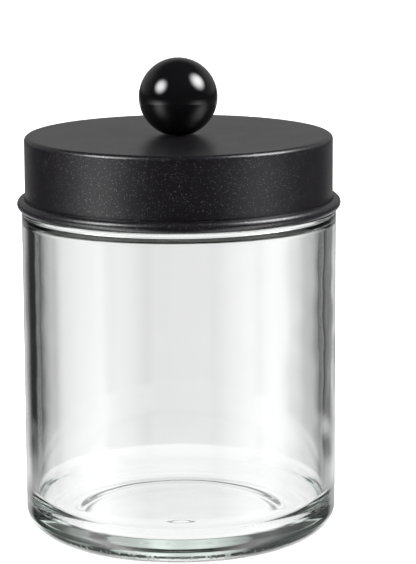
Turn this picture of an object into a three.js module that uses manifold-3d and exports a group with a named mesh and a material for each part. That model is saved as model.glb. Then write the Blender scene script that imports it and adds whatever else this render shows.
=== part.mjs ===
// Apothecary jar: a clear glass jar with a pressed metal lid and a ball knob.
// Millimetres, +Z up, the base stands on z = 0 and the axis is the Z axis.
import * as THREE from 'three';
import { mergeVertices } from 'three/addons/utils/BufferGeometryUtils.js';
import Module from 'manifold-3d';

const wasm = await Module();
wasm.setup();

const TOTAL_HEIGHT = 114.3;
const GAP = 0.3;

// Glass
const GLASS_R = 37.25;
const GLASS_WALL = 2.8;
const HEEL_OUT = 9.4;
const HEEL_UP = 6.7;
const RECESS_R = 26.2;
const RECESS_DEPTH = 0.8;
const FLOOR_Z = 6.2;
const FLOOR_ROUND = 6.0;
const SHOULDER_Z = 78.4;
const SHOULDER_ROUND = 1.0;
const INNER_SHOULDER_Z = 78.6;
const INNER_SHOULDER_DROP = 3.4;
const NECK_R = 34.6;
const MOUTH_R = 32.2;
const RIM_Z = 94.3;
const RIM_ROUND = 0.9;

// Lid shell
const LID_TOP = 96.2;
const LID_R = 36.45;
const SHEET = 0.5;
const LID_ROUND = 1.1;
const BEAD_R = 36.99;
const BEAD_Z = 80.1;
const BEAD_TUBE = 1.35;
const CENTRE_HOLE_R = 2.3;

// Liner
const LINER_WALL = 0.7;
const LINER_FLANGE = 0.8;
const LINER_FLANGE_R = 31.6;
const LINER_BOTTOM = 82.4;

// Knob
const BALL_R = 9.29;
const BALL_Z = TOTAL_HEIGHT - BALL_R;
const INSERT_R = 2.9;
const INSERT_BORE_R = 2.2;
const INSERT_LENGTH = 7.6;

// Screw and washers
const SHANK_R = 1.9;
const HEAD_R = 3.9;
const HEAD_HEIGHT = 2.4;
const RECESS_SPAN = 3.8;
const RECESS_WIDTH = 0.95;
const CROSS_DEPTH = 1.4;
const WASHER_R = 4.6;
const WASHER_THICK = 0.8;
const LOCK_R = 3.6;
const LOCK_THICK = 1.0;
const LOCK_SPLIT_DEG = 16;

const SEG_LARGE = 40;
const SEG_SMALL = 24;

function arc(cx, cy, rx, ry, fromDeg, toDeg, steps) {
  const points = [];
  for (let i = 0; i <= steps; i += 1) {
    const angle = THREE.MathUtils.degToRad(fromDeg + ((toDeg - fromDeg) * i) / steps);
    points.push([cx + rx * Math.cos(angle), cy + ry * Math.sin(angle)]);
  }
  return points;
}

function signedArea(points) {
  let sum = 0;
  points.forEach(([x, y], i) => {
    const [nextX, nextY] = points[(i + 1) % points.length];
    sum += x * nextY - nextX * y;
  });
  return sum / 2;
}

// Turns a section (radius, height) round the Z axis. A section that leaves the
// axis is closed on itself; one that starts on the axis ends there too.
function turned(section, segments) {
  const ordered = signedArea(section) < 0 ? section.slice().reverse() : section.slice();
  const onAxis = section[0][0] === 0;
  if (onAxis && ordered[0][0] !== 0) {
    ordered.unshift(ordered.pop());
  }
  if (!onAxis) {
    ordered.push(ordered[0]);
  }
  const profile = ordered.map(([r, z]) => new THREE.Vector2(r, z));
  const geometry = new THREE.LatheGeometry(profile, segments);
  geometry.rotateX(Math.PI / 2);
  return geometry;
}

function solid(geometry) {
  const bare = geometry.clone();
  bare.deleteAttribute('normal');
  bare.deleteAttribute('uv');
  const merged = mergeVertices(bare, 1e-4);
  return new wasm.Manifold(new wasm.Mesh({
    numProp: 3,
    vertProperties: new Float32Array(merged.attributes.position.array),
    triVerts: new Uint32Array(merged.index.array),
  }));
}

function fromSolid(body) {
  const mesh = body.getMesh();
  const geometry = new THREE.BufferGeometry();
  geometry.setAttribute('position', new THREE.BufferAttribute(mesh.vertProperties, 3));
  geometry.setIndex(new THREE.BufferAttribute(mesh.triVerts, 1));
  geometry.computeVertexNormals();
  return geometry;
}

function named(name, geometry, look) {
  const mesh = new THREE.Mesh(geometry, new THREE.MeshStandardMaterial(look));
  mesh.name = name;
  return mesh;
}

function glassJar() {
  const inner = GLASS_R - GLASS_WALL;
  const rimMid = (NECK_R + MOUTH_R) / 2;
  const rimHalf = (NECK_R - MOUTH_R) / 2;
  const section = [
    [0, RECESS_DEPTH],
    [RECESS_R - 6, RECESS_DEPTH * 0.96],
    [RECESS_R - 3, RECESS_DEPTH * 0.6],
    [RECESS_R - 1.2, RECESS_DEPTH * 0.2],
    [RECESS_R, 0],
    ...arc(GLASS_R - HEEL_OUT, HEEL_UP, HEEL_OUT, HEEL_UP, -90, 0, 7),
    ...arc(GLASS_R - SHOULDER_ROUND, SHOULDER_Z - SHOULDER_ROUND, SHOULDER_ROUND, SHOULDER_ROUND, 0, 90, 2),
    [NECK_R, SHOULDER_Z],
    ...arc(rimMid, RIM_Z - RIM_ROUND, rimHalf, RIM_ROUND, 0, 180, 4),
    [MOUTH_R, INNER_SHOULDER_Z + 0.2],
    ...arc(MOUTH_R, INNER_SHOULDER_Z - INNER_SHOULDER_DROP, inner - MOUTH_R, INNER_SHOULDER_DROP, 80, 0, 4),
    ...arc(inner - FLOOR_ROUND, FLOOR_Z + FLOOR_ROUND, FLOOR_ROUND, FLOOR_ROUND, 0, -90, 4),
    [0, FLOOR_Z],
  ];
  return named('glass_jar', turned(section, SEG_LARGE), {
    color: 0xdfeae6, roughness: 0.03, metalness: 0,
  });
}

function lidShell() {
  const bore = LID_R - SHEET;
  const cornerR = LID_R - LID_ROUND;
  const cornerZ = LID_TOP - LID_ROUND;
  const creaseDeg = THREE.MathUtils.radToDeg(Math.acos((LID_R - BEAD_R) / BEAD_TUBE));
  const curlInner = BEAD_TUBE - SHEET;
  const section = [
    [CENTRE_HOLE_R, LID_TOP - SHEET],
    [CENTRE_HOLE_R, LID_TOP],
    ...arc(cornerR, cornerZ, LID_ROUND, LID_ROUND, 90, 0, 3),
    ...arc(BEAD_R, BEAD_Z, BEAD_TUBE, BEAD_TUBE, creaseDeg, -148, 10),
    ...arc(BEAD_R, BEAD_Z, curlInner, curlInner, -148, 140, 8),
    [bore, BEAD_Z + 1.0],
    ...arc(cornerR, cornerZ, LID_ROUND - SHEET, LID_ROUND - SHEET, 0, 90, 3),
  ];
  return named('lid_shell', turned(section, SEG_LARGE), {
    color: 0x1f1f22, roughness: 0.5, metalness: 0.1,
  });
}

function lidLiner() {
  const outer = LID_R - SHEET - GAP;
  const top = LID_TOP - SHEET - GAP;
  const section = [
    [outer - LINER_WALL, LINER_BOTTOM],
    [outer, LINER_BOTTOM],
    [outer, top - 0.4],
    [outer - 0.4, top],
    [LINER_FLANGE_R, top],
    [LINER_FLANGE_R, top - LINER_FLANGE],
    [outer - LINER_WALL, top - LINER_FLANGE],
  ];
  return named('lid_liner', turned(section, SEG_LARGE), {
    color: 0xcbccc8, roughness: 0.6, metalness: 0,
  });
}

function knobBall() {
  const flatZ = LID_TOP + GAP;
  const flatDeg = THREE.MathUtils.radToDeg(Math.asin((flatZ - BALL_Z) / BALL_R));
  const socketR = INSERT_R + GAP;
  const socketTop = flatZ + INSERT_LENGTH + GAP;
  const surface = arc(0, BALL_Z, BALL_R, BALL_R, flatDeg, 90, 12);
  surface[surface.length - 1][0] = 0;
  const section = [
    [0, socketTop],
    [socketR, socketTop],
    [socketR, flatZ],
    ...surface,
  ];
  return named('knob_ball', turned(section, 32), {
    color: 0x050506, roughness: 0.08, metalness: 0,
  });
}

function knobInsert() {
  const bottom = LID_TOP + GAP;
  const top = bottom + INSERT_LENGTH;
  const groove = INSERT_R - 0.4;
  const section = [
    [INSERT_BORE_R, bottom],
    [INSERT_R, bottom],
    [INSERT_R, bottom + 3.2],
    [groove, bottom + 3.4],
    [groove, bottom + 4.2],
    [INSERT_R, bottom + 4.4],
    [INSERT_R, top],
    [INSERT_BORE_R, top],
  ];
  return named('knob_insert', turned(section, SEG_SMALL), {
    color: 0xb08d3c, roughness: 0.35, metalness: 1,
  });
}

function screwHeadTop() {
  return LID_TOP - SHEET - WASHER_THICK - LOCK_THICK - 3 * GAP;
}

function knobScrew() {
  const headTop = screwHeadTop();
  const headBottom = headTop - HEAD_HEIGHT;
  const shankTop = LID_TOP + GAP + INSERT_LENGTH - 1;
  const body = solid(turned([
    [0, headBottom],
    [HEAD_R - 1.6, headBottom + 0.1],
    [HEAD_R - 0.6, headBottom + 0.6],
    [HEAD_R, headBottom + 1.5],
    [HEAD_R, headTop],
    [SHANK_R, headTop],
    [SHANK_R, shankTop - 0.5],
    [SHANK_R - 0.5, shankTop],
    [0, shankTop],
  ], SEG_SMALL));
  const slot = new THREE.BoxGeometry(RECESS_SPAN, RECESS_WIDTH, 2 * CROSS_DEPTH);
  slot.translate(0, 0, headBottom);
  const crossSlot = slot.clone().rotateZ(Math.PI / 2);
  const cut = body.subtract(solid(slot)).subtract(solid(crossSlot));
  return named('knob_screw', fromSolid(cut), {
    color: 0xb9bcc0, roughness: 0.3, metalness: 1,
  });
}

function flatWasher() {
  const top = LID_TOP - SHEET - GAP;
  const section = [
    [INSERT_BORE_R, top - WASHER_THICK],
    [WASHER_R, top - WASHER_THICK],
    [WASHER_R, top],
    [INSERT_BORE_R, top],
  ];
  return named('flat_washer', turned(section, SEG_SMALL), {
    color: 0xc2c4c7, roughness: 0.35, metalness: 1,
  });
}

function lockWasher() {
  const bottom = screwHeadTop() + GAP;
  const split = THREE.MathUtils.degToRad(LOCK_SPLIT_DEG / 2);
  const outline = new THREE.Shape();
  outline.absarc(0, 0, LOCK_R, split, 2 * Math.PI - split, false);
  outline.absarc(0, 0, INSERT_BORE_R, 2 * Math.PI - split, split, true);
  outline.closePath();
  const ring = new THREE.ExtrudeGeometry(outline, {
    depth: LOCK_THICK, bevelEnabled: false, curveSegments: 20,
  });
  ring.translate(0, 0, bottom);
  return named('lock_washer', ring, {
    color: 0x9c9fa3, roughness: 0.4, metalness: 1,
  });
}

const jar = new THREE.Group();
jar.name = 'apothecary_jar';
jar.add(
  glassJar(),
  lidShell(),
  lidLiner(),
  knobBall(),
  knobInsert(),
  knobScrew(),
  flatWasher(),
  lockWasher(),
);

export default jar;
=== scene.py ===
import math

import bmesh
import bpy
from mathutils import Matrix, Vector


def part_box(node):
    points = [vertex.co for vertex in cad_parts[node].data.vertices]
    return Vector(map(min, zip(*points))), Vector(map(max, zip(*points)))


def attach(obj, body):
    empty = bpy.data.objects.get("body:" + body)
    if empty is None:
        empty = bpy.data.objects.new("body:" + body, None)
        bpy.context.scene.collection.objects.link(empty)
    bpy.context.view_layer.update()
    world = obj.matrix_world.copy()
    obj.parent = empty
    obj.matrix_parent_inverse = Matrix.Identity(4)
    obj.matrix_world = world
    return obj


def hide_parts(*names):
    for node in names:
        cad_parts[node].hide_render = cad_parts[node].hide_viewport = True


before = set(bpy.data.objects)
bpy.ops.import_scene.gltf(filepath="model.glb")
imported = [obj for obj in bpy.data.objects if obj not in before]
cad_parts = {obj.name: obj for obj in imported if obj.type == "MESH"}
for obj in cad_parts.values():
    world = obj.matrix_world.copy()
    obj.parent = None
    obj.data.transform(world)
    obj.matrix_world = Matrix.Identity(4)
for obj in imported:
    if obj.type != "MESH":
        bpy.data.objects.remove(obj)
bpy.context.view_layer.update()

# Looks of a clear glass apothecary jar: the glass, the black pressed lid with its liner, and
# the ball knob with the insert, screw and washers that hold it. Lengths are in metres.
MM = 0.001
ROUND_SEGMENTS = 224
SMALL_SEGMENTS = 96

# Glass, beyond what the CAD boxes give
GLASS_WALL = 2.8 * MM
HEEL_OUT = 9.4 * MM
HEEL_UP = 6.7 * MM
RECESS_R = 26.2 * MM
RECESS_DEPTH = 0.8 * MM
RECESS_SLOPE = 5.0 * MM
MARK_CENTRE_R = 14.0 * MM
MARK_R = 2.6 * MM
MARK_HEIGHT = 0.3 * MM
MARK_WIDTH = 0.45 * MM
FLOOR_Z = 6.2 * MM
FLOOR_ROUND = 6.0 * MM
FLOOR_MIDDLE_R = 14.0 * MM
SHOULDER_Z = 78.4 * MM
SHOULDER_ROUND = 1.0 * MM
INNER_SHOULDER_Z = 78.6 * MM
INNER_SHOULDER_DROP = 3.4 * MM
NECK_R = 34.6 * MM
MOUTH_R = 32.2 * MM
RIM_ROUND = 0.9 * MM
GLASS_IOR = 1.52
GLASS_TINT = (0.78, 0.9, 0.84, 1)
GLASS_TINT_DENSITY = 12.0

# Waviness of the pressed inner wall: depth, where it lies, how it fades at its ends,
# and its waves as (amount, waves round the jar, radians per metre up, phase)
WALL_RIPPLE = 0.05 * MM
RIPPLE_LOW = 12 * MM
RIPPLE_HIGH = 72 * MM
RIPPLE_FADE_LOW = 14 * MM
RIPPLE_FADE_HIGH = 6 * MM
WALL_WAVES = [(1.0, 5, 60, 1.3), (0.7, 9, -210, 0.4), (0.5, 3, 420, 2.1), (0.35, 17, 640, 0.0)]

# Moulded dots on the heel, which fade in from the first of each pair to the second
STIPPLE_PER_METRE = 900
STIPPLE_TOP = (4.2 * MM, 3.4 * MM)
STIPPLE_REACH = (31.0 * MM, 32.5 * MM)

# Lid shell
LID_R = 36.45 * MM
SHEET = 0.5 * MM
LID_ROUND = 1.1 * MM
BEAD_TUBE = 1.35 * MM
CENTRE_HOLE_R = 2.3 * MM
LID_FLAT_R = 20 * MM
CURL_END_DEG = -148
CURL_INSIDE_DEG = 140
BEAD_SHOULDER = 1.0 * MM

# Liner
LINER_WALL = 0.7 * MM
LINER_FLANGE = 0.8 * MM
LINER_FLANGE_R = 31.6 * MM
LINER_LIP = 0.15 * MM
LINER_ROUND = 0.4 * MM
LINER_BREAK = 0.2 * MM
LINER_FILLET = 0.3 * MM

# Knob, screw and washers
SOCKET_GAP = 0.3 * MM
BORE_R = 2.2 * MM
INSERT_EDGE = 0.2 * MM
INSERT_GROOVE = 0.4 * MM
INSERT_GROOVE_LOW = 3.4 * MM
INSERT_GROOVE_HIGH = 4.2 * MM
KNURLS = 32
KNURL_DEPTH = 0.12 * MM
SHANK_R = 1.9 * MM
THREAD_START = 1.2 * MM
THREAD_END = 0.4 * MM
SCREW_POINT = 0.5 * MM
THREAD_DEPTH = 0.22 * MM
THREAD_PITCH = 0.7 * MM
HEAD_HEIGHT = 2.4 * MM
HEAD_ROUND = 1.9 * MM
HEAD_DOME = 1.6 * MM
HEAD_EDGE = 0.1 * MM
CROSS_SPAN = 3.8 * MM
CROSS_WIDTH = 0.95 * MM
CROSS_DEPTH = 1.4 * MM
CROSS_TAPER = 0.55
FLAT_WASHER_EDGE = 0.12 * MM
LOCK_WASHER_EDGE = 0.08 * MM
LOCK_WASHER_STEPS = 80
SPLIT_DEG = 16

# The room seen through the glass, as (degrees, brightness). Azimuth 0 is straight behind
# the jar. A bright panel behind with a dark slot at each side, and panels all round.
BACK_PANEL = [
    (-45, 0.0), (-44, 0.03), (-36, 0.015), (-18.6, 0.015), (-17, 0.2), (-14.8, 0.32),
    (-12.5, 0.46), (-8.4, 0.66), (-4.6, 0.76), (-0.8, 0.67), (1.4, 0.69), (4, 0.84),
    (6.2, 0.84), (8.4, 0.66), (10.3, 0.54), (13, 0.46), (16, 0.4), (18.4, 0.34),
    (19.4, 0.03), (25, 0.015), (27, 0.2), (34, 0.2), (40, 0.04), (44, 0.04), (45, 0.0),
]
OTHER_PANELS = [
    (-180, 0.75), (-118, 0.75), (-110, 0.06), (-103, 0.4), (-97, 0.78), (-83, 0.78),
    (-77, 0.4), (-71, 0.06), (-66, 0.6), (-57, 0.2), (-53, 0.02), (-45, 0.015), (-44, 0.0),
    (44, 0.0), (45, 0.03), (53, 0.03), (60, 0.7), (112, 0.75), (117, 0.05), (124, 0.4),
    (129, 0.78), (141, 0.78), (147, 0.4), (153, 0.05), (160, 0.75), (179.9, 0.75),
]
BELOW_PANELS = [(-90, 1.0), (-17.5, 1.0), (-14.2, 0.0), (90, 0.0)]
PANEL_HEIGHT = [(-90, 0.0), (-17.5, 0.0), (-14.2, 1.0), (4, 1.0), (40, 1.0), (90, 1.0)]
BELOW_TONE = 0.85
THROUGH_GAIN = 1.2

# The room mirrored in the lid and the knob: a tall soft panel at each side, a glow behind
SIDE_PANELS = [
    (-180, 0.0), (-152, 0.02), (-138, 0.35), (-124, 1.0), (-112, 1.0), (-98, 0.4),
    (-80, 0.06), (-60, 0.01), (-38, 0.01), (-30, 0.25), (30, 0.25), (38, 0.03), (80, 0.04),
    (98, 0.25), (110, 0.58), (122, 0.6), (136, 0.25), (150, 0.02), (179, 0.0),
]
SIDE_HEIGHT = [(-90, 0.3), (-60, 0.9), (-24, 1.0), (-12, 0.3), (-3, 0.0), (90, 0.0)]
SIDE_GAIN = 6.0
REAR_GLOW = [(-180, 0.0), (-95, 0.0), (-50, 1.0), (50, 1.0), (95, 0.0), (179, 0.0)]
REAR_HEIGHT = [(-90, 0.0), (-2, 0.02), (5, 0.33), (28, 0.33), (50, 0.03), (90, 0.0)]
ROOM_TONE = 0.015

# Floor, and round panels as (name, direction from the knob, distance, radius, strength)
FLOOR_HALF = 12.0
FLOOR_GLOW = 0.97
SOFTBOXES = [
    ("left_softbox", (-0.748, -0.426, 0.508), 0.9, 0.42, 20),
    ("right_softbox", (0.763, -0.148, 0.627), 0.9, 0.48, 21),
]

CAMERA_PLACE = (0, -0.6089, 0.1802)
CAMERA_PITCH_DEG = 10.888
CAMERA_ROLL_DEG = -0.408
CAMERA_LENS = 165.98
CAMERA_SHIFT = (0.0508, -0.0182)


# ---------------------------------------------------------------- mesh helpers
def arc(cx, cz, rx, rz, from_deg, to_deg, steps):
    """Points of a round stretch about (cx, cz), both ends included."""
    points = []
    for i in range(steps + 1):
        a = math.radians(from_deg + (to_deg - from_deg) * i / steps)
        points.append((cx + rx * math.cos(a), cz + rz * math.sin(a)))
    return points


def straight(start, end, steps):
    """Points after start up to and with end, evenly spaced."""
    (r0, z0), (r1, z1) = start, end
    return [
        (r0 + (r1 - r0) * i / steps, z0 + (z1 - z0) * i / steps)
        for i in range(1, steps + 1)
    ]


def supported(section, closed):
    """Adds a point just inside each end of a long straight run, which keeps its shading flat."""
    points = list(section) + ([section[0]] if closed else [])
    result = [points[0]]
    for (r0, z0), (r1, z1) in zip(points, points[1:]):
        length = math.hypot(r1 - r0, z1 - z0)
        if length > 1.2 * MM:
            for part in (0.08 * MM / length, 1 - 0.08 * MM / length):
                if r0 + (r1 - r0) * part > 0.3 * MM:
                    result.append((r0 + (r1 - r0) * part, z0 + (z1 - z0) * part))
        result.append((r1, z1))
    return result[:-1] if closed else result


def turned(name, section, segments, shape=None):
    """A closed mesh from a section of (radius, height) turned round the axis.

    A section that starts at radius 0 also ends there. shape(r, z, angle)
    gives the point's final radius and height.
    """
    bm = bmesh.new()
    rows = []
    section = supported(section, section[0][0] > 1e-9)
    for r, z in section:
        if r < 1e-9:
            rows.append([bm.verts.new((0, 0, z))])
            continue
        row = []
        for k in range(segments):
            a = 2 * math.pi * k / segments
            rr, zz = shape(r, z, a) if shape else (r, z)
            row.append(bm.verts.new((rr * math.cos(a), rr * math.sin(a), zz)))
        rows.append(row)
    on_axis = section[0][0] < 1e-9
    pairs = list(zip(rows, rows[1:]))
    if not on_axis:
        pairs.append((rows[-1], rows[0]))
    for low, high in pairs:
        for k in range(segments):
            n = (k + 1) % segments
            if len(low) == 1:
                bm.faces.new((low[0], high[n], high[k]))
            elif len(high) == 1:
                bm.faces.new((low[k], low[n], high[0]))
            else:
                bm.faces.new((low[k], low[n], high[n], high[k]))
    bmesh.ops.recalc_face_normals(bm, faces=bm.faces)
    if bm.calc_volume(signed=True) < 0:
        bmesh.ops.reverse_faces(bm, faces=bm.faces)
    mesh = bpy.data.meshes.new(name)
    bm.to_mesh(mesh)
    bm.free()
    return mesh


def smooth(mesh, sharp_deg=38):
    mesh.shade_smooth()
    mesh.set_sharp_from_angle(angle=math.radians(sharp_deg))


def piece(name, mesh, material, node, body):
    """The finished object, which takes the place of its CAD node and rides on its body."""
    mesh.materials.clear()
    mesh.materials.append(material)
    obj = bpy.data.objects.new(name, mesh)
    bpy.context.scene.collection.objects.link(obj)
    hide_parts(node)
    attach(obj, body)
    return obj


# ------------------------------------------------------------ material helpers
def new_material(name):
    mat = bpy.data.materials.new(name)
    mat.use_nodes = True
    nodes = mat.node_tree.nodes
    nodes.clear()
    out = nodes.new("ShaderNodeOutputMaterial")
    shader = nodes.new("ShaderNodeBsdfPrincipled")
    mat.node_tree.links.new(shader.outputs["BSDF"], out.inputs["Surface"])
    return mat, shader, out


def add(mat, kind, **values):
    node = mat.node_tree.nodes.new(kind)
    for key, value in values.items():
        setattr(node, key, value)
    return node


def link(mat, a, b):
    mat.node_tree.links.new(a, b)


def object_coords(mat):
    return add(mat, "ShaderNodeTexCoord").outputs["Object"]


def noise(mat, coords, scale, detail=2.0, roughness=0.5):
    node = add(mat, "ShaderNodeTexNoise")
    node.inputs["Scale"].default_value = scale
    node.inputs["Detail"].default_value = detail
    node.inputs["Roughness"].default_value = roughness
    link(mat, coords, node.inputs["Vector"])
    return node.outputs["Fac"]


def set_stops(node, stops):
    """Fills a colour ramp with (place, tone) stops, a tone being a number or a colour."""
    elements = node.color_ramp.elements
    while len(elements) < len(stops):
        elements.new(0.5)
    for element, (place, tone) in zip(elements, stops):
        element.position = place
        element.color = (tone, tone, tone, 1) if isinstance(tone, float) else (*tone, 1)


def ramp(mat, fac, stops):
    node = add(mat, "ShaderNodeValToRGB")
    set_stops(node, stops)
    link(mat, fac, node.inputs["Fac"])
    return node.outputs["Color"]


def scaled(mat, fac, low, high):
    node = add(mat, "ShaderNodeMapRange")
    node.inputs["To Min"].default_value = low
    node.inputs["To Max"].default_value = high
    link(mat, fac, node.inputs["Value"])
    return node.outputs["Result"]


def bump(mat, height, strength, distance, normal=None):
    node = add(mat, "ShaderNodeBump")
    node.inputs["Strength"].default_value = strength
    node.inputs["Distance"].default_value = distance
    link(mat, height, node.inputs["Height"])
    if normal is not None:
        link(mat, normal, node.inputs["Normal"])
    return node.outputs["Normal"]


# ------------------------------------------------------------------- materials
def fade_in(mat, value, start, full):
    """0 at start, rising smoothly to 1 at full."""
    node = add(mat, "ShaderNodeMapRange", interpolation_type="SMOOTHSTEP")
    node.inputs["From Min"].default_value = start
    node.inputs["From Max"].default_value = full
    link(mat, value, node.inputs["Value"])
    return node.outputs["Result"]


def distance_from_axis(mat, coords):
    flat = add(mat, "ShaderNodeVectorMath", operation="MULTIPLY")
    flat.inputs[1].default_value = (1, 1, 0)
    link(mat, coords, flat.inputs[0])
    reach = add(mat, "ShaderNodeVectorMath", operation="LENGTH")
    link(mat, flat.outputs["Vector"], reach.inputs[0])
    return reach.outputs["Value"]


def heel_stipple(mat, coords):
    """Fine moulded dots on a band of the heel, 0 elsewhere."""
    dots = add(mat, "ShaderNodeTexVoronoi")
    dots.inputs["Scale"].default_value = STIPPLE_PER_METRE
    dots.inputs["Randomness"].default_value = 0.35
    link(mat, coords, dots.inputs["Vector"])
    place = add(mat, "ShaderNodeSeparateXYZ")
    link(mat, coords, place.inputs[0])
    kept = fade_in(mat, dots.outputs["Distance"], 0.45, 0.0)
    for limit in (
        fade_in(mat, place.outputs["Z"], *STIPPLE_TOP),
        fade_in(mat, distance_from_axis(mat, coords), *STIPPLE_REACH),
    ):
        product = add(mat, "ShaderNodeMath", operation="MULTIPLY")
        link(mat, kept, product.inputs[0])
        link(mat, limit, product.inputs[1])
        kept = product.outputs[0]
    return kept


def glass_material():
    mat, shader, out = new_material("clear_glass")
    shader.inputs["Base Color"].default_value = (1, 1, 1, 1)
    shader.inputs["Transmission Weight"].default_value = 1.0
    shader.inputs["IOR"].default_value = GLASS_IOR
    coords = object_coords(mat)
    smear = noise(mat, coords, 55, 3)
    link(mat, scaled(mat, smear, 0.0, 0.012), shader.inputs["Roughness"])
    wave = noise(mat, coords, 90, 1)
    waved = bump(mat, wave, 0.25, 0.00012)
    link(mat, bump(mat, heel_stipple(mat, coords), 0.5, 0.00012, waved), shader.inputs["Normal"])
    body = add(mat, "ShaderNodeVolumeAbsorption")
    body.inputs["Color"].default_value = GLASS_TINT
    body.inputs["Density"].default_value = GLASS_TINT_DENSITY
    link(mat, body.outputs["Volume"], out.inputs["Volume"])
    return mat


def lid_coating():
    """Satin black with fine metal flakes and a little orange peel."""
    mat, shader, _ = new_material("lid_coating")
    coords = object_coords(mat)
    flakes = add(mat, "ShaderNodeTexVoronoi")
    flakes.inputs["Scale"].default_value = 5600
    link(mat, coords, flakes.inputs["Vector"])
    split = add(mat, "ShaderNodeSeparateColor")
    link(mat, flakes.outputs["Color"], split.inputs["Color"])
    sparkle = ramp(mat, split.outputs["Red"], [(0.0, 0.0), (0.93, 0.0), (0.985, 1.0)])
    mix = add(mat, "ShaderNodeMix", data_type="RGBA")
    mix.inputs["A"].default_value = (0.003, 0.0024, 0.0036, 1)
    mix.inputs["B"].default_value = (0.12, 0.118, 0.13, 1)
    link(mat, sparkle, mix.inputs["Factor"])
    link(mat, mix.outputs["Result"], shader.inputs["Base Color"])
    link(mat, scaled(mat, sparkle, 0.0, 0.8), shader.inputs["Metallic"])
    patch = noise(mat, coords, 160, 3)
    link(mat, scaled(mat, patch, 0.29, 0.35), shader.inputs["Roughness"])
    shader.inputs["Specular IOR Level"].default_value = 0.55
    grain = noise(mat, coords, 2600, 2, 0.6)
    peel = noise(mat, coords, 700, 1)
    under = bump(mat, peel, 0.12, 0.00012)
    link(mat, bump(mat, grain, 0.35, 0.00006, under), shader.inputs["Normal"])
    return mat


def knob_material():
    mat, shader, _ = new_material("knob_plastic")
    shader.inputs["Base Color"].default_value = (0.0035, 0.0035, 0.004, 1)
    coords = object_coords(mat)
    haze = noise(mat, coords, 220, 3)
    link(mat, scaled(mat, haze, 0.05, 0.11), shader.inputs["Roughness"])
    link(mat, bump(mat, noise(mat, coords, 400, 1), 0.04, 0.0001), shader.inputs["Normal"])
    return mat


def liner_material():
    mat, shader, _ = new_material("liner_plastic")
    coords = object_coords(mat)
    tone = noise(mat, coords, 120, 3)
    link(mat, ramp(mat, tone, [(0.3, (0.58, 0.59, 0.56)), (0.7, (0.64, 0.65, 0.62))]),
         shader.inputs["Base Color"])
    link(mat, scaled(mat, tone, 0.5, 0.62), shader.inputs["Roughness"])
    link(mat, bump(mat, noise(mat, coords, 1800, 2), 0.2, 0.00005), shader.inputs["Normal"])
    return mat


def metal_material(name, low, high, rough, grain_scale):
    """Bare metal whose tone drifts between two colours, with a fine grain."""
    mat, shader, _ = new_material(name)
    coords = object_coords(mat)
    tone = noise(mat, coords, 380, 3)
    link(mat, ramp(mat, tone, [(0.3, low), (0.75, high)]), shader.inputs["Base Color"])
    shader.inputs["Metallic"].default_value = 1.0
    link(mat, scaled(mat, tone, rough * 0.8, rough * 1.3), shader.inputs["Roughness"])
    fine = noise(mat, coords, grain_scale, 2)
    link(mat, bump(mat, fine, 0.15, 0.00004), shader.inputs["Normal"])
    return mat


def insert_brass():
    return metal_material("insert_brass", (0.55, 0.38, 0.14), (0.8, 0.6, 0.28), 0.28, 1500)


def screw_steel():
    return metal_material("screw_steel", (0.55, 0.56, 0.58), (0.75, 0.76, 0.78), 0.2, 900)


def washer_steel():
    return metal_material("washer_steel", (0.45, 0.46, 0.48), (0.66, 0.67, 0.69), 0.34, 2400)


# ---------------------------------------------------------------------- pieces
def base_mark(r, z, a):
    """A plain raised ring under the base, toward the front."""
    off = math.hypot(r * math.cos(a), r * math.sin(a) + MARK_CENTRE_R)
    rise = max(0.0, 1 - ((off - MARK_R) / MARK_WIDTH) ** 2)
    return r, z - MARK_HEIGHT * rise


def glass_shape(inner_r):
    """The base mark, and the slight waviness of the pressed inner wall."""
    def shape(r, z, a):
        if z < 2 * MM and r < RECESS_R - RECESS_SLOPE:
            return base_mark(r, z, a)
        if abs(r - inner_r) > 0.4 * MM or z < RIPPLE_LOW or z > RIPPLE_HIGH:
            return r, z
        fade = min(1.0, (z - RIPPLE_LOW) / RIPPLE_FADE_LOW, (RIPPLE_HIGH - z) / RIPPLE_FADE_HIGH)
        fade *= 0.2 + 0.8 * max(0.0, math.cos(a))
        wave = sum(
            amount * math.sin(waves * a + rise * z + phase)
            for amount, waves, rise, phase in WALL_WAVES
        )
        return r + WALL_RIPPLE * fade * wave / 2.5, z
    return shape


def glass_underside():
    """From the axis over the recess and the mark's fine rings to where the heel starts."""
    section = [(0, RECESS_DEPTH), (MARK_CENTRE_R - 2 * MARK_R, RECESS_DEPTH)]
    section += straight(section[-1], (MARK_CENTRE_R + 2 * MARK_R, RECESS_DEPTH), 40)
    for i in range(13):
        t = i / 12
        height = RECESS_DEPTH * (0.5 + 0.5 * math.cos(math.pi * t))
        section.append((RECESS_R - RECESS_SLOPE * (1 - t), height))
    return section


def glass_outside(outer_r, rim_z):
    """Heel, wall, shoulder, neck and the rounded rim."""
    rim_middle = (NECK_R + MOUTH_R) / 2
    rim_half = (NECK_R - MOUTH_R) / 2
    section = arc(outer_r - HEEL_OUT, HEEL_UP, HEEL_OUT, HEEL_UP, -90, 0, 24)[1:]
    section += arc(outer_r - SHOULDER_ROUND, SHOULDER_Z - SHOULDER_ROUND,
                   SHOULDER_ROUND, SHOULDER_ROUND, 0, 90, 8)
    section += [(NECK_R + 0.25 * MM, SHOULDER_Z), (NECK_R, SHOULDER_Z + 0.25 * MM)]
    section += arc(rim_middle, rim_z - RIM_ROUND, rim_half, RIM_ROUND, 0, 180, 16)
    return section


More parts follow.
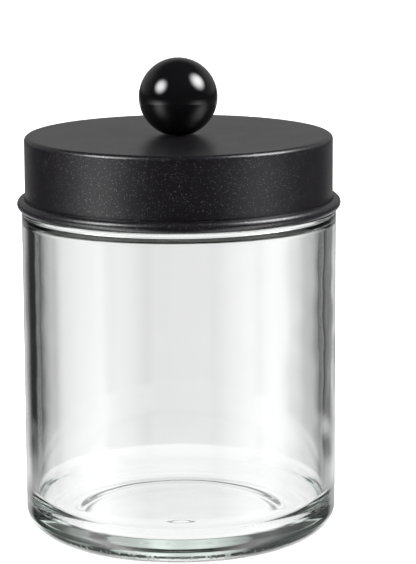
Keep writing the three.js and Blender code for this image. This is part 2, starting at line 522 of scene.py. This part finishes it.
def glass_inside(inner_r):
    """Mouth, inner shoulder, wall and floor."""
    section = [(MOUTH_R, INNER_SHOULDER_Z + 0.2 * MM)]
    for i in range(17):
        t = 1 - i / 16
        inward = (inner_r - MOUTH_R) * (0.25 * t + 0.75 * t ** 2.2)
        section.append((inner_r - inward, INNER_SHOULDER_Z - INNER_SHOULDER_DROP * (1 - t)))
    floor = arc(inner_r - FLOOR_ROUND, FLOOR_Z + FLOOR_ROUND, FLOOR_ROUND, FLOOR_ROUND, 0, -90, 16)
    section += straight(section[-1], floor[0], 40)[:-1]
    return section + floor + [(FLOOR_MIDDLE_R, FLOOR_Z), (0, FLOOR_Z)]


def glass_jar(material):
    _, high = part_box("glass_jar")
    inner_r = high.x - GLASS_WALL
    section = glass_underside() + glass_outside(high.x, high.z) + glass_inside(inner_r)
    mesh = turned("glass_jar_look", section, ROUND_SEGMENTS, glass_shape(inner_r))
    smooth(mesh)
    return piece("glass_jar_look", mesh, material, "glass_jar", "jar")


def lid_shell(material):
    low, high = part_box("lid_shell")
    top_z, bead_outer = high.z, high.x
    bead_r, bead_z = bead_outer - BEAD_TUBE, low.z + BEAD_TUBE
    corner_r, corner_z = LID_R - LID_ROUND, top_z - LID_ROUND
    crease = math.degrees(math.acos((LID_R - bead_r) / BEAD_TUBE))
    curl_in = BEAD_TUBE - SHEET
    under_z = top_z - SHEET
    section = [(CENTRE_HOLE_R, under_z), (CENTRE_HOLE_R, top_z), (LID_FLAT_R, top_z)]
    section += arc(corner_r, corner_z, LID_ROUND, LID_ROUND, 90, 0, 12)
    section += arc(bead_r, bead_z, BEAD_TUBE, BEAD_TUBE, crease, CURL_END_DEG, 36)
    section += arc(bead_r, bead_z, curl_in, curl_in, CURL_END_DEG, CURL_INSIDE_DEG, 24)
    section += [(LID_R - SHEET, bead_z + BEAD_SHOULDER)]
    section += arc(corner_r, corner_z, LID_ROUND - SHEET, LID_ROUND - SHEET, 0, 90, 8)
    mesh = turned("lid_shell_look", section, ROUND_SEGMENTS)
    smooth(mesh)
    return piece("lid_shell_look", mesh, material, "lid_shell", "lid")


def lid_liner(material):
    low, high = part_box("lid_liner")
    outer, top, inner = high.x, high.z, high.x - LINER_WALL
    under = top - LINER_FLANGE
    section = [(inner + LINER_LIP, low.z), (outer - LINER_LIP, low.z), (outer, low.z + LINER_LIP)]
    section += arc(outer - LINER_ROUND, top - LINER_ROUND, LINER_ROUND, LINER_ROUND, 0, 90, 5)
    section += [(LINER_FLANGE_R + LINER_BREAK, top), (LINER_FLANGE_R, top - LINER_BREAK)]
    section += [(LINER_FLANGE_R, under + LINER_BREAK), (LINER_FLANGE_R + LINER_BREAK, under)]
    section += [(inner - LINER_FILLET, under), (inner, under - LINER_FILLET)]
    section += [(inner, low.z + LINER_LIP)]
    mesh = turned("lid_liner_look", section, ROUND_SEGMENTS)
    smooth(mesh)
    return piece("lid_liner_look", mesh, material, "lid_liner", "lid_seat")


def knob_ball(material):
    low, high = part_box("knob_ball")
    _, insert_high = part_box("knob_insert")
    radius = high.x
    centre = high.z - radius
    flat_deg = math.degrees(math.asin((low.z - centre) / radius))
    socket_r = insert_high.x + SOCKET_GAP
    socket_top = insert_high.z + SOCKET_GAP
    section = [(0, socket_top), (socket_r, socket_top), (socket_r, low.z)]
    section += arc(0, centre, radius, radius, flat_deg, 89, 72) + [(0, high.z)]
    mesh = turned("knob_ball_look", section, 160)
    smooth(mesh)
    return piece("knob_ball_look", mesh, material, "knob_ball", "lid")


def knob_insert(material):
    low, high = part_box("knob_insert")
    r = high.x
    groove = r - INSERT_GROOVE
    groove_low = low.z + INSERT_GROOVE_LOW
    groove_high = low.z + INSERT_GROOVE_HIGH

    def knurl(radius, z, a):
        if radius < r - 0.05 * MM:
            return radius, z
        return radius - KNURL_DEPTH * (0.5 - 0.5 * math.cos(KNURLS * a)), z

    section = [(BORE_R, low.z), (r - INSERT_EDGE, low.z), (r, low.z + INSERT_EDGE)]
    section += [(r, groove_low - INSERT_EDGE), (groove, groove_low)]
    section += [(groove, groove_high), (r, groove_high + INSERT_EDGE)]
    section += [(r, high.z - INSERT_EDGE), (r - INSERT_EDGE, high.z), (BORE_R, high.z)]
    mesh = turned("knob_insert_look", section, 128, knurl)
    smooth(mesh, 30)
    return piece("knob_insert_look", mesh, material, "knob_insert", "lid")


def cross_cutter(bottom_z):
    """Two crossed bars that narrow upwards, for the recess in the screw's head."""
    mesh = bpy.data.meshes.new("cross_recess")
    bm = bmesh.new()
    for turn in (0, math.pi / 2):
        bmesh.ops.create_cube(
            bm, size=1,
            matrix=Matrix.Translation((0, 0, bottom_z)) @ Matrix.Rotation(turn, 4, "Z")
            @ Matrix.Diagonal((CROSS_SPAN, CROSS_WIDTH, 2 * CROSS_DEPTH, 1)),
        )
    for vert in bm.verts:
        if vert.co.z > bottom_z:
            vert.co.x *= CROSS_TAPER
            vert.co.y *= CROSS_TAPER
    bm.to_mesh(mesh)
    bm.free()
    cutter = bpy.data.objects.new("cross_recess", mesh)
    bpy.context.scene.collection.objects.link(cutter)
    return cutter


def screw_section(low, high):
    """Domed head, plain neck, ridges of the thread and a short point."""
    head_r = high.x
    head_top = low.z + HEAD_HEIGHT
    dome_r = head_r - HEAD_ROUND
    section = [(0, low.z), (dome_r, low.z)]
    section += arc(dome_r, low.z + HEAD_DOME, HEAD_ROUND, HEAD_DOME, -90, 0, 12)[1:]
    section += [(head_r, head_top - HEAD_EDGE), (head_r - HEAD_EDGE, head_top), (SHANK_R, head_top)]
    z = head_top + THREAD_START
    while z + THREAD_PITCH < high.z - THREAD_END:
        section += [(SHANK_R, z), (SHANK_R - THREAD_DEPTH, z + THREAD_PITCH / 2)]
        z += THREAD_PITCH
    return section + [(SHANK_R, z), (SHANK_R - SCREW_POINT, high.z), (0, high.z)]


def with_cross_recess(mesh, bottom_z):
    blank = bpy.data.objects.new("screw_blank", mesh)
    bpy.context.scene.collection.objects.link(blank)
    cutter = cross_cutter(bottom_z)
    cut = blank.modifiers.new("recess", "BOOLEAN")
    cut.operation = "DIFFERENCE"
    cut.solver = "EXACT"
    cut.use_self = True
    cut.object = cutter
    graph = bpy.context.evaluated_depsgraph_get()
    finished = bpy.data.meshes.new_from_object(blank.evaluated_get(graph))
    bpy.data.objects.remove(blank)
    bpy.data.objects.remove(cutter)
    return finished


def knob_screw(material):
    low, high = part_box("knob_screw")
    blank = turned("knob_screw_look", screw_section(low, high), SMALL_SEGMENTS)
    mesh = with_cross_recess(blank, low.z)
    smooth(mesh, 30)
    return piece("knob_screw_look", mesh, material, "knob_screw", "lid")


def flat_washer(material):
    low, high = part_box("flat_washer")
    e = FLAT_WASHER_EDGE
    section = [(BORE_R + e, low.z), (high.x - e, low.z), (high.x, low.z + e)]
    section += [(high.x, high.z - e), (high.x - e, high.z), (BORE_R + e, high.z)]
    section += [(BORE_R, high.z - e), (BORE_R, low.z + e)]
    mesh = turned("flat_washer_look", section, SMALL_SEGMENTS)
    smooth(mesh, 30)
    return piece("flat_washer_look", mesh, material, "flat_washer", "lid")


def split_ring(name, outline):
    """An outline swept round the axis, with a narrow gap where the ring is split."""
    bm = bmesh.new()
    rows = []
    half = math.radians(SPLIT_DEG / 2)
    for k in range(LOCK_WASHER_STEPS + 1):
        a = half + (2 * math.pi - 2 * half) * k / LOCK_WASHER_STEPS
        rows.append([bm.verts.new((r * math.cos(a), r * math.sin(a), z)) for r, z in outline])
    for here, there in zip(rows, rows[1:]):
        for i in range(len(outline)):
            n = (i + 1) % len(outline)
            bm.faces.new((here[i], here[n], there[n], there[i]))
    bm.faces.new(rows[0])
    bm.faces.new(rows[-1])
    bmesh.ops.recalc_face_normals(bm, faces=bm.faces)
    mesh = bpy.data.meshes.new(name)
    bm.to_mesh(mesh)
    bm.free()
    return mesh


def lock_washer(material):
    low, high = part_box("lock_washer")
    outer = max(high.x, high.y)
    e = LOCK_WASHER_EDGE
    outline = [
        (BORE_R + e, low.z), (outer - e, low.z), (outer, low.z + e), (outer, high.z - e),
        (outer - e, high.z), (BORE_R + e, high.z), (BORE_R, high.z - e), (BORE_R, low.z + e),
    ]
    mesh = split_ring("lock_washer_look", outline)
    smooth(mesh, 30)
    return piece("lock_washer_look", mesh, material, "lock_washer", "lid")


# ---------------------------------------------------------------------- studio
def studio_floor():
    """A white floor that glows a little. The glass and the lid don't show it."""
    mesh = bpy.data.meshes.new("floor")
    s = FLOOR_HALF
    mesh.from_pydata([(-s, -s, 0), (s, -s, 0), (s, s, 0), (-s, s, 0)], [], [(0, 1, 2, 3)])
    mat, shader, _ = new_material("floor_white")
    coords = object_coords(mat)
    tone = noise(mat, coords, 3, 2)
    link(mat, ramp(mat, tone, [(0.2, 0.86), (0.8, 0.9)]), shader.inputs["Base Color"])
    shader.inputs["Roughness"].default_value = 1.0
    shader.inputs["Specular IOR Level"].default_value = 0.0
    shader.inputs["Emission Color"].default_value = (1, 1, 1, 1)
    shader.inputs["Emission Strength"].default_value = FLOOR_GLOW
    mesh.materials.append(mat)
    floor = bpy.data.objects.new("floor", mesh)
    bpy.context.scene.collection.objects.link(floor)
    floor.visible_glossy = False
    floor.visible_transmission = False
    return floor


def softbox_glow(name, radius, strength):
    """Light that is brightest in the panel's middle and fades to its edge."""
    mat = bpy.data.materials.new(name)
    mat.use_nodes = True
    mat.node_tree.nodes.clear()
    out = add(mat, "ShaderNodeOutputMaterial")
    glow = add(mat, "ShaderNodeEmission")
    spread = add(mat, "ShaderNodeVectorMath", operation="LENGTH")
    link(mat, object_coords(mat), spread.inputs[0])
    fade = add(mat, "ShaderNodeMapRange", interpolation_type="SMOOTHERSTEP")
    fade.inputs["From Max"].default_value = radius
    fade.inputs["To Min"].default_value = strength
    fade.inputs["To Max"].default_value = 0.0
    link(mat, spread.outputs["Value"], fade.inputs["Value"])
    link(mat, fade.outputs["Result"], glow.inputs["Strength"])
    link(mat, glow.outputs["Emission"], out.inputs["Surface"])
    return mat


def softbox(name, direction, distance, radius, strength, target):
    """A round panel that faces the target and shows only as light and in reflections."""
    mesh = bpy.data.meshes.new(name)
    ring = [(radius * math.cos(math.pi * k / 16), radius * math.sin(math.pi * k / 16), 0)
            for k in range(32)]
    mesh.from_pydata(ring, [], [tuple(range(32))])
    mesh.materials.append(softbox_glow(name, radius, strength))
    obj = bpy.data.objects.new(name, mesh)
    bpy.context.scene.collection.objects.link(obj)
    way = Vector(direction).normalized()
    obj.location = target + way * distance
    obj.rotation_mode = "QUATERNION"
    obj.rotation_quaternion = way.to_track_quat("Z", "Y")
    obj.visible_camera = False
    obj.visible_transmission = False
    obj.visible_shadow = False
    return obj


def world_math(tree, operation, *inputs):
    """A math node whose inputs are numbers or other nodes' outputs."""
    node = tree.nodes.new("ShaderNodeMath")
    node.operation = operation
    for socket, value in zip(node.inputs, inputs):
        if isinstance(value, (int, float)):
            socket.default_value = value
        else:
            tree.links.new(value, socket)
    return node.outputs[0]


def world_ramp(tree, value, low, high, stops):
    """Brightness against an angle in degrees, between low and high."""
    node = tree.nodes.new("ShaderNodeValToRGB")
    set_stops(node, [((angle - low) / (high - low), tone) for angle, tone in stops])
    tree.links.new(world_math(tree, "DIVIDE", world_math(tree, "SUBTRACT", value, low), high - low),
                   node.inputs["Fac"])
    return node.outputs["Color"]


def room_through_glass(tree, azimuth, rise):
    panels = world_math(tree, "ADD", world_ramp(tree, azimuth, -45, 45, BACK_PANEL),
                        world_ramp(tree, azimuth, -180, 180, OTHER_PANELS))
    panels = world_math(tree, "MULTIPLY", panels, world_ramp(tree, rise, -90, 90, PANEL_HEIGHT))
    below = world_math(tree, "MULTIPLY", world_ramp(tree, rise, -90, 90, BELOW_PANELS), BELOW_TONE)
    return world_math(tree, "MULTIPLY", world_math(tree, "ADD", panels, below), THROUGH_GAIN)


def room_in_reflections(tree, azimuth, rise):
    sides = world_math(tree, "MULTIPLY", world_ramp(tree, azimuth, -180, 180, SIDE_PANELS),
                       world_ramp(tree, rise, -90, 90, SIDE_HEIGHT))
    rear = world_math(tree, "MULTIPLY", world_ramp(tree, azimuth, -180, 180, REAR_GLOW),
                      world_ramp(tree, rise, -90, 90, REAR_HEIGHT))
    room = world_math(tree, "ADD", world_math(tree, "MULTIPLY", sides, SIDE_GAIN), rear)
    return world_math(tree, "ADD", room, ROOM_TONE)


def world_choice(tree, which, otherwise, chosen):
    """The chosen brightness for one kind of ray, and the other for the rest."""
    node = tree.nodes.new("ShaderNodeMix")
    tree.links.new(which, node.inputs["Factor"])
    tree.links.new(otherwise, node.inputs["A"])
    if isinstance(chosen, float):
        node.inputs["B"].default_value = chosen
    else:
        tree.links.new(chosen, node.inputs["B"])
    return node.outputs["Result"]


def studio_world():
    """A white room. Through the glass it shows as bright panels with darker slots
    between them, and the lid mirrors a dim room with a tall soft panel at each side."""
    world = bpy.data.worlds.new("studio")
    bpy.context.scene.world = world
    world.use_nodes = True
    tree = world.node_tree
    tree.nodes.clear()
    way = tree.nodes.new("ShaderNodeSeparateXYZ")
    tree.links.new(tree.nodes.new("ShaderNodeTexCoord").outputs["Generated"], way.inputs[0])
    x, y, z = way.outputs
    azimuth = world_math(tree, "DEGREES", world_math(tree, "ARCTAN2", x, y))
    rise = world_math(tree, "DEGREES", world_math(tree, "ARCSINE", z))
    path = tree.nodes.new("ShaderNodeLightPath").outputs
    shown = world_choice(tree, path["Is Transmission Ray"],
                         room_in_reflections(tree, azimuth, rise),
                         room_through_glass(tree, azimuth, rise))
    shown = world_choice(tree, path["Is Camera Ray"], shown, 1.0)
    sky = tree.nodes.new("ShaderNodeBackground")
    sky.inputs["Color"].default_value = (1, 1, 1, 1)
    tree.links.new(shown, sky.inputs["Strength"])
    out = tree.nodes.new("ShaderNodeOutputWorld")
    tree.links.new(sky.outputs[0], out.inputs["Surface"])


def studio_camera():
    data = bpy.data.cameras.new("camera")
    data.sensor_width = 36
    data.lens = CAMERA_LENS
    data.clip_start = 0.01
    data.clip_end = 100
    data.shift_x, data.shift_y = CAMERA_SHIFT
    cam = bpy.data.objects.new("camera", data)
    bpy.context.scene.collection.objects.link(cam)
    cam.location = CAMERA_PLACE
    tilt = Matrix.Rotation(math.radians(90 - CAMERA_PITCH_DEG), 4, "X")
    look = tilt @ Matrix.Rotation(math.radians(CAMERA_ROLL_DEG), 4, "Z")
    cam.rotation_mode = "QUATERNION"
    cam.rotation_quaternion = look.to_quaternion()
    bpy.context.scene.camera = cam


glass_jar(glass_material())
lid_shell(lid_coating())
lid_liner(liner_material())
knob_ball(knob_material())
knob_insert(insert_brass())
knob_screw(screw_steel())
washer_metal = washer_steel()
flat_washer(washer_metal)
lock_washer(washer_metal)

ball_low, ball_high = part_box("knob_ball")
knob_centre = (ball_low + ball_high) / 2
studio_floor()
studio_world()
for box in SOFTBOXES:
    softbox(*box, knob_centre)
studio_camera()

bpy.context.scene.view_settings.view_transform = "Standard"
cycles = bpy.context.scene.cycles
cycles.use_denoising = True
cycles.max_bounces = 24
cycles.transmission_bounces = 20
cycles.glossy_bounces = 10
